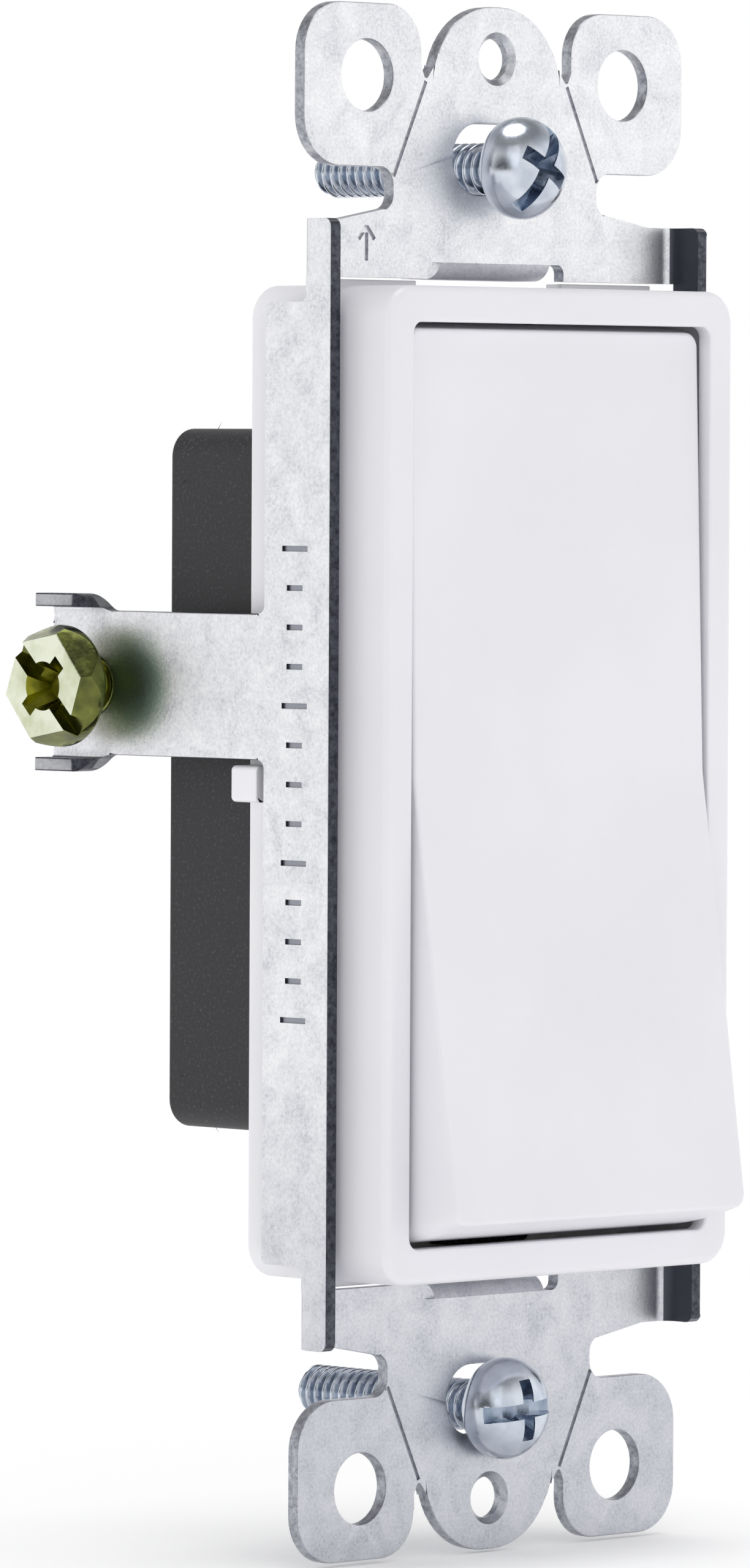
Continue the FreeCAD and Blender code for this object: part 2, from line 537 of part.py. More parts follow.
# ---- contacts and terminals ----------------------------------------------------------
def contact_rocker():
    """Bent see-saw strip: the lower leg lies flat, the upper one leans out by the full travel."""
    lean = math.radians(ROCKER_TILT)
    up_y, up_z = -ROCKER_LEN * math.sin(lean), ROCKER_LEN * math.cos(lean)
    outline = [(ROCKER_Y, -ROCKER_LEN, 0), (ROCKER_Y, 0, 0), (ROCKER_Y + up_y, up_z, 0),
               (ROCKER_Y + up_y + ROCKER_T * math.cos(lean), up_z + ROCKER_T * math.sin(lean), 0),
               (ROCKER_Y + ROCKER_T, ROCKER_T * math.tan(lean / 2), 0), (ROCKER_Y + ROCKER_T, -ROCKER_LEN, 0)]
    strip = slab_x(outline, -ROCKER_HALF, ROCKER_HALF)
    ears = box(-4.0, 4.0, ROCKER_Y, ROCKER_Y + ROCKER_T, -0.55, 0.05)
    return fuse(strip, ears)


def moving_contact():
    y = ROCKER_Y + ROCKER_T
    return soften(rod(CONTACT_R, (0, y, -CONTACT_Z), (0, 1, 0), 0.8), 0.3,
                  lambda p, e: abs(p.y - y - 0.8) < 0.01)


def fixed_contact():
    y = ROCKER_Y + ROCKER_T + 0.83
    seat = FLOOR_Y - 0.2 - BRASS
    return soften(rod(CONTACT_R, (0, y, -CONTACT_Z), (0, 1, 0), seat - y), 0.3,
                  lambda p, e: abs(p.y - y) < 0.01)


def terminal(up):
    """Brass strip: a tapped tab behind the side opening and an arm along the housing's floor."""
    back = FLOOR_Y - 0.2
    z = up * TERM_Z
    tab = box(TERM_PLATE_X, TERM_PLATE_X + BRASS, 6.6, back, z - 4.3, z + 4.3)
    z0, z1 = sorted((up * ARM_NEAR_Z, up * ARM_FAR_Z))
    arm = box(-TONGUE_WIDE, TERM_PLATE_X + 0.1, back - BRASS, back, z0, z1)
    return fuse(tab, arm).cut(rod(TERM_SCREW_R + GAP, (TERM_PLATE_X - 1, TERM_Y, z), (1, 0, 0), 4))


def switched_terminal():
    back = FLOOR_Y - 0.2
    return fuse(terminal(-1), box(-TONGUE_WIDE, TONGUE_WIDE, back - BRASS, back, -14, -7.6))


def common_terminal():
    """Carries the knife-edge posts that the contact rocker tips on."""
    back = FLOOR_Y - 0.2
    plate = fuse(terminal(1), box(-TONGUE_WIDE, TONGUE_WIDE, back - BRASS, back, -1.6, 14),
                 box(-4.2, 4.2, back - BRASS, back, -1.6, 1.6))
    seat = ROCKER_Y + ROCKER_T + GAP
    for side in (-1, 1):
        x0, x1 = sorted((side * 2.9, side * 3.8))
        post = box(x0, x1, seat, back, -1.5, 1.5)
        cheek = [box(x0, x1, ROCKER_Y - 0.5, seat, z, z + 0.5) for z in (-1.5, 1.0)]
        plate = fuse(plate, post, *cheek)
    return plate


def push_in_clip(up):
    """Leaf spring that bites a wire pushed in from the back."""
    t = 0.35
    leaf = [(13.1, 13.5), (6.8, 13.5), (6.8, 7.2), (9.4, 7.2), (12.6, 10.9)]
    inner = [(12.4, 11.25), (9.25, 7.2 + t), (6.8 + t, 7.2 + t), (6.8 + t, 13.5 - t), (13.1, 13.5 - t)]
    clip = slab_x([(y, z, 0) for y, z in leaf + inner], WIRE_X - 1.2, WIRE_X + 1.2)
    return clip if up > 0 else mirror_z(clip)


# ---- screws --------------------------------------------------------------------------
def with_shank(head, shank):
    """Joins a head that stands on z = 0 to a shank that hangs below it."""
    return fuse(head, mirror_z(shank))


def terminal_screw(up):
    head = round_head(4.0, 2.2, cross_recess(2.2, 1.5, 1.0, 4.2, 0.6))
    screw = with_shank(head, threaded(TERM_SCREW_R, TERM_SCREW_LEN))
    return placed(screw, (TERM_HEAD_X, TERM_Y, up * TERM_Z), (1, 0, 0), 25 * up)


def ground_screw():
    """Green earthing screw: six sloping flats on a round head, with a combination recess."""
    height, head_r, front_corner, flare, hex_turn = 2.1, 4.1, 3.7, 0.59, -5
    rings = []
    for z in (0, height):
        corner = front_corner + flare * (height - z)
        turns = [math.radians(hex_turn + a) for a in range(0, 361, 60)]
        rings.append(Part.makePolygon([V(corner * math.cos(a), corner * math.sin(a), z) for a in turns]))
    head = Part.makeLoft(rings, True, True)
    turned = Part.makeCylinder(head_r, height)
    turned = soften(turned, 0.25, lambda p, e: e.BoundBox.XLength > head_r and p.z < 0.01)
    head = head.common(turned)
    recess = cross_recess(2.3, 1.6, 1.15, 4.6, 0.62)
    recess.translate(V(0, 0, height))
    head = head.cut(recess)
    screw = with_shank(head, threaded(GROUND_SCREW_R, GROUND_SCREW_LEN))
    return placed(screw, (GROUND_HEAD_X, GROUND_Y, GROUND_Z), (-1, 0, 0), 45)


def mounting_screw(head_y, z, spin):
    head = round_head(BOX_HEAD_R, BOX_HEAD_H, cross_recess(2.2, 1.75, 1.0, BOX_HEAD_R + 0.2, 0.66))
    screw = with_shank(head, threaded(BOX_SCREW_R, BOX_SCREW_LEN))
    return placed(screw, (0, head_y, z), (0, -1, 0), spin)


def assembly_screws():
    """Four cross-head screws driven from the back, through the black body into the cover."""
    screws = []
    for side in (-1, 1):
        for up in (-1, 1):
            head = round_head(1.9, 1.2, cross_recess(1.0, 0.8, 0.5, 1.0))
            screw = with_shank(head, threaded(0.9, 11.2, 0.6))
            seat = (side * BOSS_X, BODY_BACK - COUNTERBORE_DEEP + GAP, up * BOSS_Z)
            screws.append(placed(screw, seat, (0, 1, 0), 30 * side))
    return Part.makeCompound(screws)


NODES = {
    "mounting_strap": mounting_strap,
    "front_frame": front_frame,
    "paddle": paddle,
    "housing_cover": housing_cover,
    "rear_housing": rear_housing,
    "plunger": plunger,
    "plunger_spring": plunger_spring,
    "quiet_stop_pads": quiet_stop_pads,
    "contact_rocker": contact_rocker,
    "moving_contact": moving_contact,
    "fixed_contact": fixed_contact,
    "common_terminal": common_terminal,
    "switched_terminal": switched_terminal,
    "upper_push_in_clip": lambda: push_in_clip(1),
    "lower_push_in_clip": lambda: push_in_clip(-1),
    "upper_terminal_screw": lambda: terminal_screw(1),
    "lower_terminal_screw": lambda: terminal_screw(-1),
    "ground_screw": ground_screw,
    "upper_mounting_screw": lambda: mounting_screw(UPPER_HEAD_Y, SLOT_Z - BOX_SCREW_DROP, 60),
    "lower_mounting_screw": lambda: mounting_screw(LOWER_HEAD_Y, -SLOT_Z - BOX_SCREW_DROP, 5),
    "assembly_screws": assembly_screws,
}

os.makedirs("parts", exist_ok=True)
for name, make in NODES.items():
    shape = make()
    print(name, "valid" if shape.isValid() else "INVALID", "solids", len(shape.Solids),
          "volume %.1f" % shape.Volume)
    shape.exportStep("parts/%s.step" % name)
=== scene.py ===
"""Looks of the decorator wall switch: a white rocking paddle on a galvanised strap, black body behind."""
import math

import bmesh
import bpy
from mathutils import Matrix, Vector


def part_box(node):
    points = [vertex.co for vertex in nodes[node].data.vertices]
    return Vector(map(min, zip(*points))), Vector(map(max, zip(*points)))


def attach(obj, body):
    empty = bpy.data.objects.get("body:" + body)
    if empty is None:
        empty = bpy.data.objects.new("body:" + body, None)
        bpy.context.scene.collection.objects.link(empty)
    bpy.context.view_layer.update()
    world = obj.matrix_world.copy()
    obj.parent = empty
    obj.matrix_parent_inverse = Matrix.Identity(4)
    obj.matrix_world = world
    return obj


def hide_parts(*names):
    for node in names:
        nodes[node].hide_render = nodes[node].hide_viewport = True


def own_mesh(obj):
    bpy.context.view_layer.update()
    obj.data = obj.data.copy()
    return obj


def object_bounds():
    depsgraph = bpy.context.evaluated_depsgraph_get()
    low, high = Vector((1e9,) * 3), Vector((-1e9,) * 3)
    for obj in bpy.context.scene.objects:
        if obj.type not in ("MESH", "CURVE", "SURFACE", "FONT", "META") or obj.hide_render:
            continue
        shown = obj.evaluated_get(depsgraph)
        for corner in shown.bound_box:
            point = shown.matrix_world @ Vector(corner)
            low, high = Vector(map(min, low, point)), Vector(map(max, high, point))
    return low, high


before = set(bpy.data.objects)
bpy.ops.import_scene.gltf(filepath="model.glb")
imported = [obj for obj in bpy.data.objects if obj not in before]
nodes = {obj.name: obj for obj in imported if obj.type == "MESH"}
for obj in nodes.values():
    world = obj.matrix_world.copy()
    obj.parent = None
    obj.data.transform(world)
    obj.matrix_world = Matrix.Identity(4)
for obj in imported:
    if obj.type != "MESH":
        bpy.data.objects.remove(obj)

MM = 0.001
THREAD_PITCH = 0.794     # mm, 32 turns to the inch
SAME_PLACE = 0.0005      # mm: corners closer than this are one corner
cad_low, cad_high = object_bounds()


# ---- helpers -------------------------------------------------------------------------
def srgb(code):
    """Linear RGBA for an sRGB hex colour such as '#E6E6EA'."""
    channels = [int(code[i:i + 2], 16) / 255.0 for i in (1, 3, 5)]
    linear = [c / 12.92 if c <= 0.04045 else ((c + 0.055) / 1.055) ** 2.4 for c in channels]
    return (*linear, 1.0)


def add(tree, kind, settings=None, links=None):
    """Adds one node. Settings are attributes or input values; links are (node, output) by input name."""
    made = tree.nodes.new(kind)
    for key, value in (settings or {}).items():
        if isinstance(key, str) and hasattr(made, key):
            setattr(made, key, value)
        else:
            made.inputs[key].default_value = value
    for key, (source, output) in (links or {}).items():
        tree.links.new(source.outputs[output], made.inputs[key])
    return made


def stops(ramp_node, *pairs):
    """Sets a colour ramp's stops from (position, hex or grey number) pairs."""
    ramp = ramp_node.color_ramp
    while len(ramp.elements) < len(pairs):
        ramp.elements.new(0.5)
    for element, (where, tone) in zip(ramp.elements, pairs):
        element.position = where
        element.color = srgb(tone) if isinstance(tone, str) else (tone, tone, tone, 1.0)
    return ramp_node


def new_finish(name, **constants):
    """A material with a Principled shader whose constants are set on its own sockets."""
    material = bpy.data.materials.new(name)
    material.use_nodes = True
    tree = material.node_tree
    shader = tree.nodes["Principled BSDF"]
    for key, value in constants.items():
        shader.inputs[key.replace("_", " ")].default_value = value
    place = add(tree, "ShaderNodeTexCoord")
    return material, tree, shader, (place, "Object")


def per_mm(size_mm):
    """Texture scale that gives features of about this size."""
    return 1.0 / (size_mm * MM)


def skin(tree, shader, texture, texture_range, roughness_range, strength, depth_mm, relief=None):
    """Roughness that follows a texture, and fine relief from the same texture or another."""
    rough = add(tree, "ShaderNodeMapRange", {"From Min": texture_range[0], "From Max": texture_range[1],
                                             "To Min": roughness_range[0], "To Max": roughness_range[1]},
                {"Value": texture})
    tree.links.new(rough.outputs["Result"], shader.inputs["Roughness"])
    bump = add(tree, "ShaderNodeBump", {"Strength": strength, "Distance": depth_mm * MM},
               {"Height": relief or texture})
    tree.links.new(bump.outputs["Normal"], shader.inputs["Normal"])


# ---- finishes ------------------------------------------------------------------------
MID_NOISE = (0.3, 0.7)   # the range in which most of a noise texture's values lie

# where the strap's tones change, in mm from the object's middle
RAIL_FROM_X, RIGHT_RAIL_FROM_X, RAIL_HALF_LENGTH = 17.0, 16.6, 37.6
LIP_END_Z, LIP_HALF_WIDTH = 36.6, 5.3
WING_FROM_X, WING_DULLING = -18.2, 0.62
STAMP_FROM_X, STAMP_TO_X, STAMP_HALF_LENGTH = -17.86, -17.3, 16.5
LOW_END_Z, LOW_END_FADES_Z = -42, -18
TINT_CENTRE = (-17.95, 15.3, 6.2)        # on the tab, in front of the ground screw
TINT_FULL_R, TINT_GONE_R, TINT_SPECKLE, TINT_STRENGTH = 3.2, 5.0, 2.2, 0.62
GROUND_HEAD_FRONT_X = -22.44
# how far a face's normal leans to the left, for the right rail's inner face and for a stamped floor
INNER_FACE_LEAN, STAMP_LEAN = -0.6, -0.5


def galvanised_sheet():
    """Galvanised steel, sheared and bent: pale satin zinc, finely grained, faintly cloudy, with torn edges.

    The torn edges are dark bare steel, darker still on the rails, where painted shade is added. The lower end
    has painted shade, darker than the upper. The right rail's inner face has painted shade and dark
    reflection, the floors of the stamped bars have painted shade, and the tab has a painted green reflection
    of the ground screw.
    """
    material, tree, shader, place = new_finish("galvanised_steel_stamped", Metallic=1.0)
    cloud = add(tree, "ShaderNodeTexNoise", {"Scale": per_mm(2.2), "Detail": 3.0, "Distortion": 0.6},
                {"Vector": place})
    grain = add(tree, "ShaderNodeTexNoise", {"Scale": per_mm(0.22), "Detail": 4.0, "Roughness": 0.75},
                {"Vector": place})
    mixed = add(tree, "ShaderNodeMath", {"operation": "MULTIPLY_ADD", 1: 0.55},
                {0: (cloud, "Fac"), 2: (grain, "Fac")})
    flat = stops(add(tree, "ShaderNodeValToRGB", {}, {"Fac": (mixed, "Value")}),
                 (0.52, "#C6C8CE"), (0.72, "#E1E2E6"), (0.98, "#F3F3F5"))

    # torn edges: faces that look across the sheet, apart from the latch lips
    normal = add(tree, "ShaderNodeSeparateXYZ", {}, {0: (place[0], "Normal")})
    at = add(tree, "ShaderNodeSeparateXYZ", {}, {0: place})
    side = add(tree, "ShaderNodeMath", {"operation": "ABSOLUTE"}, {0: (at, "X")})
    along = add(tree, "ShaderNodeMath", {"operation": "ABSOLUTE"}, {0: (at, "Z")})
    outer = add(tree, "ShaderNodeMath", {"operation": "GREATER_THAN", 1: RAIL_FROM_X * MM},
                {0: (side, "Value")})
    inner = add(tree, "ShaderNodeMath", {"operation": "LESS_THAN", 1: RAIL_HALF_LENGTH * MM},
                {0: (along, "Value")})
    on_rail = add(tree, "ShaderNodeMath", {"operation": "MULTIPLY"},
                  {0: (outer, "Value"), 1: (inner, "Value")})
    facing = {axis: add(tree, "ShaderNodeMath", {"operation": "ABSOLUTE"}, {0: (normal, axis)})
              for axis in "XYZ"}
    across = add(tree, "ShaderNodeMix", {"data_type": "FLOAT"},
                 {0: (on_rail, "Value"), 2: (facing["X"], "Value"), 3: (facing["Y"], "Value")})
    edge = add(tree, "ShaderNodeMath", {"operation": "MAXIMUM"},
               {0: (across, 0), 1: (facing["Z"], "Value")})
    near_slot = add(tree, "ShaderNodeMath", {"operation": "GREATER_THAN", 1: LIP_END_Z * MM},
                    {0: (along, "Value")})
    beside_lip = add(tree, "ShaderNodeMath", {"operation": "GREATER_THAN", 1: LIP_HALF_WIDTH * MM},
                     {0: (side, "Value")})
    off_lip = add(tree, "ShaderNodeMath", {"operation": "MAXIMUM"},
                  {0: (near_slot, "Value"), 1: (beside_lip, "Value")})
    cut_face = add(tree, "ShaderNodeMath", {"operation": "MULTIPLY"},
                   {0: (edge, "Value"), 1: (off_lip, "Value")})
    wings = add(tree, "ShaderNodeMath", {"operation": "LESS_THAN", 1: WING_FROM_X * MM}, {0: (at, "X")})
    worked = add(tree, "ShaderNodeMath", {"operation": "MULTIPLY_ADD", 1: WING_DULLING},
                 {0: (wings, "Value"), 2: (cut_face, "Value")})
    edge_mask = stops(add(tree, "ShaderNodeValToRGB", {}, {"Fac": (worked, "Value")}),
                      (0.45, 0.0), (0.85, 1.0))
    torn = add(tree, "ShaderNodeTexNoise", {"Scale": per_mm(0.4), "Detail": 4.0, "Roughness": 0.7},
               {"Vector": place})
    torn_plate = stops(add(tree, "ShaderNodeValToRGB", {}, {"Fac": (torn, "Fac")}),
                       (0.35, "#878992"), (0.68, "#C2C4CB"))
    # on the rails the torn edges are darker still: bare steel, with painted shade from the gap beside them
    torn_rail_and_shade = stops(add(tree, "ShaderNodeValToRGB", {}, {"Fac": (torn, "Fac")}),
                      (0.35, "#35363D"), (0.68, "#61636C"))
    torn_and_shade_tone = add(tree, "ShaderNodeMix", {"data_type": "RGBA"},
                    {0: (on_rail, "Value"), 6: (torn_plate, "Color"), 7: (torn_rail_and_shade, "Color")})

    # painted shade: the lower end is darker than the upper, fading out upwards
    low_end = add(tree, "ShaderNodeMapRange", {"From Min": LOW_END_Z * MM, "From Max": LOW_END_FADES_Z * MM,
                                               "To Min": 1.0, "To Max": 0.0}, {"Value": (at, "Z")})
    low_end_painted_shade = add(tree, "ShaderNodeMix", {"data_type": "RGBA", "blend_type": "MULTIPLY", 7: srgb("#DCDDE1")},
                 {0: (low_end, "Result"), 6: (flat, "Color")})
    colour = add(tree, "ShaderNodeMix", {"data_type": "RGBA"},
                 {0: (edge_mask, "Color"), 6: (low_end_painted_shade, 2), 7: (torn_and_shade_tone, 2)})

    # painted shade and dark reflection: the right rail's inner face is painted dark
    inside = add(tree, "ShaderNodeMath", {"operation": "LESS_THAN", 1: INNER_FACE_LEAN},
                 {0: (normal, "X")})
    right_rail = add(tree, "ShaderNodeMath", {"operation": "GREATER_THAN", 1: RIGHT_RAIL_FROM_X * MM},
                     {0: (at, "X")})
    dark_reflection_share = add(tree, "ShaderNodeMath", {"operation": "MULTIPLY"},
                 {0: (inside, "Value"), 1: (right_rail, "Value")})
    painted_dark_reflection = add(tree, "ShaderNodeMix", {"data_type": "RGBA", 7: srgb("#4A4C55")},
                      {0: (dark_reflection_share, "Value"), 6: (colour, 2)})

    # painted shade on the floors of the bars stamped in the left rail
    below_skin = add(tree, "ShaderNodeMath", {"operation": "GREATER_THAN", 1: STAMP_FROM_X * MM},
                     {0: (at, "X")})
    left_face = add(tree, "ShaderNodeMath", {"operation": "LESS_THAN", 1: STAMP_TO_X * MM}, {0: (at, "X")})
    mid_rail = add(tree, "ShaderNodeMath", {"operation": "LESS_THAN", 1: STAMP_HALF_LENGTH * MM},
                   {0: (along, "Value")})
    outward = add(tree, "ShaderNodeMath", {"operation": "LESS_THAN", 1: STAMP_LEAN}, {0: (normal, "X")})
    deep_enough = add(tree, "ShaderNodeMath", {"operation": "MULTIPLY"},
                      {0: (below_skin, "Value"), 1: (left_face, "Value")})
    on_mid_face = add(tree, "ShaderNodeMath", {"operation": "MULTIPLY"},
                     {0: (mid_rail, "Value"), 1: (outward, "Value")})
    stamped = add(tree, "ShaderNodeMath", {"operation": "MULTIPLY"},
                  {0: (deep_enough, "Value"), 1: (on_mid_face, "Value")})
    painted_shade_in_bars = add(tree, "ShaderNodeMix", {"data_type": "RGBA", 7: srgb("#989AA3")},
                 {0: (stamped, "Value"), 6: (painted_dark_reflection, 2)})

    # painted reflection and shadow of the green ground screw on the tab, in front of the screw, with a
    # speckled edge
    centre = tuple(value * MM for value in TINT_CENTRE)
    from_centre = add(tree, "ShaderNodeVectorMath", {"operation": "DISTANCE", 1: centre}, {0: place})
    speckled = add(tree, "ShaderNodeMath", {"operation": "MULTIPLY_ADD", 1: TINT_SPECKLE * MM},
                   {0: (grain, "Fac"), 2: (from_centre, "Value")})
    green_reflection_share = add(tree, "ShaderNodeMapRange", {"From Min": TINT_FULL_R * MM, "From Max": TINT_GONE_R * MM,
                                             "To Min": TINT_STRENGTH, "To Max": 0.0},
                {"Value": (speckled, "Value")})
    painted_green_reflection = add(tree, "ShaderNodeMix", {"data_type": "RGBA", 7: srgb("#5C9470")},
                 {0: (green_reflection_share, "Result"), 6: (painted_shade_in_bars, 2)})
    tree.links.new(painted_green_reflection.outputs[2], shader.inputs["Base Color"])
    skin(tree, shader, (mixed, "Value"), (0.5, 1.0), (0.40, 0.30), 0.5, 0.03, (grain, "Fac"))
    return material


def moulded_white(name, tint, roughness):
    """Plastic moulded in a finely spark-eroded tool: a clean tint, barely uneven, with a satin sheen."""
    material, tree, shader, place = new_finish(name, Metallic=0.0, IOR=1.55, Subsurface_Weight=0.08,
                                               Subsurface_Scale=1.2 * MM)
    shader.inputs["Subsurface Radius"].default_value = (1.0, 0.9, 0.8)
    flow = add(tree, "ShaderNodeTexNoise", {"Scale": per_mm(14.0), "Detail": 2.0}, {"Vector": place})
    darker = "#" + "".join("%02X" % max(0, int(tint[i:i + 2], 16) - 4) for i in (1, 3, 5))
    tone = stops(add(tree, "ShaderNodeValToRGB", {}, {"Fac": (flow, "Fac")}), (0.35, darker), (0.65, tint))
    tree.links.new(tone.outputs["Color"], shader.inputs["Base Color"])
    spark = add(tree, "ShaderNodeTexNoise", {"Scale": per_mm(0.12), "Detail": 3.0, "Roughness": 0.6},
                {"Vector": place})
    skin(tree, shader, (spark, "Fac"), MID_NOISE, (roughness - 0.05, roughness + 0.05), 0.12, 0.01)
    return material


def moulded_black():
    """Glass-filled polyester, moulded: near-black with a sandy grain that catches the light as pale specks.

    The grain is drawn twice as coarse as a usual 0.1 mm, so that it is still seen at arm's length.
    """
    material, tree, shader, place = new_finish("polyester_black_moulded", Metallic=0.0, IOR=1.55)
    grit = add(tree, "ShaderNodeTexNoise", {"Scale": per_mm(0.22), "Detail": 3.0, "Roughness": 0.75},
               {"Vector": place})
    tone = stops(add(tree, "ShaderNodeValToRGB", {}, {"Fac": (grit, "Fac")}),
                 (0.34, "#100F13"), (0.56, "#201F24"), (0.70, "#504F58"))
    tree.links.new(tone.outputs["Color"], shader.inputs["Base Color"])
    skin(tree, shader, (grit, "Fac"), MID_NOISE, (0.45, 0.65), 0.5, 0.03)
    return material


def plated(name, pale, deep, roughness, cloud_mm=1.6):
    """Plated or bare metal, headed or stamped: thin bright skin, faintly cloudy, with fine forming marks."""
    material, tree, shader, place = new_finish(name, Metallic=1.0)
    bath = add(tree, "ShaderNodeTexNoise", {"Scale": per_mm(cloud_mm), "Detail": 2.0}, {"Vector": place})
    tone = stops(add(tree, "ShaderNodeValToRGB", {}, {"Fac": (bath, "Fac")}), (0.35, deep), (0.65, pale))
    tree.links.new(tone.outputs["Color"], shader.inputs["Base Color"])
    marks = add(tree, "ShaderNodeTexNoise", {"Scale": per_mm(0.2), "Detail": 2.0}, {"Vector": place})
    skin(tree, shader, (marks, "Fac"), MID_NOISE, (roughness - 0.04, roughness + 0.05), 0.08, 0.01)
    return material


def green_chromate():
    """Steel with a yellow-green chromate: dark olive on the flats, partly painted reflection, painted pale
    reflection on the head's front face.
    """
    material, tree, shader, place = new_finish("green_chromated_steel", Metallic=1.0)
    bath = add(tree, "ShaderNodeTexNoise", {"Scale": per_mm(1.8), "Detail": 3.0}, {"Vector": place})
    deep = stops(add(tree, "ShaderNodeValToRGB", {}, {"Fac": (bath, "Fac")}),
                 (0.30, "#4C5030"), (0.55, "#6C713C"), (0.75, "#8E9350"))
    at = add(tree, "ShaderNodeSeparateXYZ", {}, {0: place})
    crown = add(tree, "ShaderNodeMath", {"operation": "LESS_THAN", 1: GROUND_HEAD_FRONT_X * MM},
                {0: (at, "X")})
    # painted pale reflection on the head's front face
    painted_pale_reflection = stops(add(tree, "ShaderNodeValToRGB", {}, {"Fac": (bath, "Fac")}),
                   (0.3, "#C9CFAE"), (0.6, "#E6EAD6"))
    colour = add(tree, "ShaderNodeMix", {"data_type": "RGBA"},
                 {0: (crown, "Value"), 6: (deep, "Color"), 7: (painted_pale_reflection, "Color")})
    tree.links.new(colour.outputs[2], shader.inputs["Base Color"])
    marks = add(tree, "ShaderNodeTexNoise", {"Scale": per_mm(0.25), "Detail": 2.0}, {"Vector": place})
    skin(tree, shader, (marks, "Fac"), MID_NOISE, (0.12, 0.24), 0.1, 0.01)
    return material


def rubber():
    """Cellular rubber, die cut: dull charcoal, open pores that swallow the light."""
    material, tree, shader, place = new_finish("rubber_pad_die_cut", Metallic=0.0, Specular_IOR_Level=0.2)
    pores = add(tree, "ShaderNodeTexVoronoi", {"Scale": per_mm(0.35)}, {"Vector": place})
    tone = stops(add(tree, "ShaderNodeValToRGB", {}, {"Fac": (pores, "Distance")}),
                 (0.15, "#141416"), (0.6, "#323236"))
    tree.links.new(tone.outputs["Color"], shader.inputs["Base Color"])
    skin(tree, shader, (pores, "Distance"), (0.0, 0.6), (0.95, 0.8), 0.4, 0.05)
    return material


GALVANISED = galvanised_sheet()
WHITE = moulded_white("polycarbonate_white_moulded", "#EEEDF2", 0.34)
WHITE_BACK = moulded_white("polycarbonate_white_textured", "#F5F5F9", 0.42)
BLACK = moulded_black()
ZINC = plated("zinc_plated_steel_bright", "#D6DCE5", "#BEC6D2", 0.19)
# recess and thread-root tones are darker: painted shade, and in the green screw's recess chromate pooled
# thicker as well
ZINC_SHADE_TONE = plated("zinc_plated_steel_painted_shade_recess_and_thread_root", "#B2BDCC", "#7F8DA2", 0.24)
GREEN = green_chromate()
GREEN_POOL_AND_SHADE_TONE = plated("green_chromated_steel_recess_and_thread_root", "#93922F", "#57581A", 0.22)
BRASS = plated("brass_stamped", "#D9B56A", "#B98F45", 0.30)
COPPER = plated("copper_alloy_strip_rolled", "#D99A76", "#B97350", 0.28)
SILVER = plated("silver_alloy_rivet", "#E6E4DE", "#C2C0BA", 0.22)
SPRING = plated("stainless_spring_leaf_rolled", "#C9CBCF", "#9C9FA5", 0.30)
ACETAL = moulded_white("acetal_natural_moulded", "#DEDBD0", 0.30)
PAD = rubber()


# ---- carried-over pieces -------------------------------------------------------------
ROLLED_ANGLE = math.radians(32)      # edges sharper than this are rolled


def dress(name, material, edge_mm):
    """Gives a CAD piece its finish, and rolls its sharp edges by edge_mm."""
    piece = nodes[name]
    piece.data.materials.clear()
    piece.data.materials.append(material)
    if edge_mm:
        weld = piece.modifiers.new("weld", "WELD")
        weld.merge_threshold = SAME_PLACE * MM
        roll = piece.modifiers.new("rolled_edge", "BEVEL")
        roll.width = edge_mm * MM
        roll.segments = 2
        roll.limit_method = "ANGLE"
        roll.angle_limit = ROLLED_ANGLE
        roll.use_clamp_overlap = False
        roll.harden_normals = False
        even = piece.modifiers.new("even_normals", "WEIGHTED_NORMAL")
        even.weight = 80


for name, material, edge_mm in (
        ("front_frame", WHITE, 0.10),
        ("paddle", WHITE, 0),
        ("housing_cover", WHITE_BACK, 0.10),
        ("rear_housing", BLACK, 0.12),
        ("plunger", ACETAL, 0),
        ("quiet_stop_pads", PAD, 0),
        ("contact_rocker", COPPER, 0),
        ("moving_contact", SILVER, 0),
        ("fixed_contact", SILVER, 0),
        ("common_terminal", BRASS, 0),
        ("switched_terminal", BRASS, 0),
        ("upper_push_in_clip", SPRING, 0),
        ("lower_push_in_clip", SPRING, 0),
        ("assembly_screws", ZINC, 0)):
    dress(name, material, edge_mm)


# ---- the plunger's spring, as its own piece on the paddle -------------------------------
def working_spring():
    """The coil as its own piece, attached to the paddle."""
    data = nodes["plunger_spring"].data.copy()
    data.materials.clear()
    data.materials.append(SPRING)
    coil = bpy.data.objects.new("working_spring", data)
    bpy.context.scene.collection.objects.link(coil)
    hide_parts("plunger_spring")
    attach(coil, "paddle")
    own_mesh(coil)


working_spring()


# ---- the strap, with its sheared edges rolled over ---------------------------------------
STRAP_FRONT_Y, RAIL_FRONT_Y, RAIL_OUTER_X = -0.9, -3.4, 17.95      # mm
THROUGH_Y = -0.3         # a face that reaches further back than this goes through the sheet
PLATE_FROM_Z = 38.2
NOTCH_X, NOTCH_Z = (5.2, 7.9), (45.5, 48.6)      # vee between the tongue and each ear, left sharp
TAB_FROM_Y, TAB_BEND_Y = 3.4, (16.9, 23.2)       # tab, and the stretch from which its wings are bent
SHEAR_ROLL = 0.13
HAIR = 0.01
SHEARED_ANGLE, CREASE_ANGLE = math.radians(50), math.radians(40)


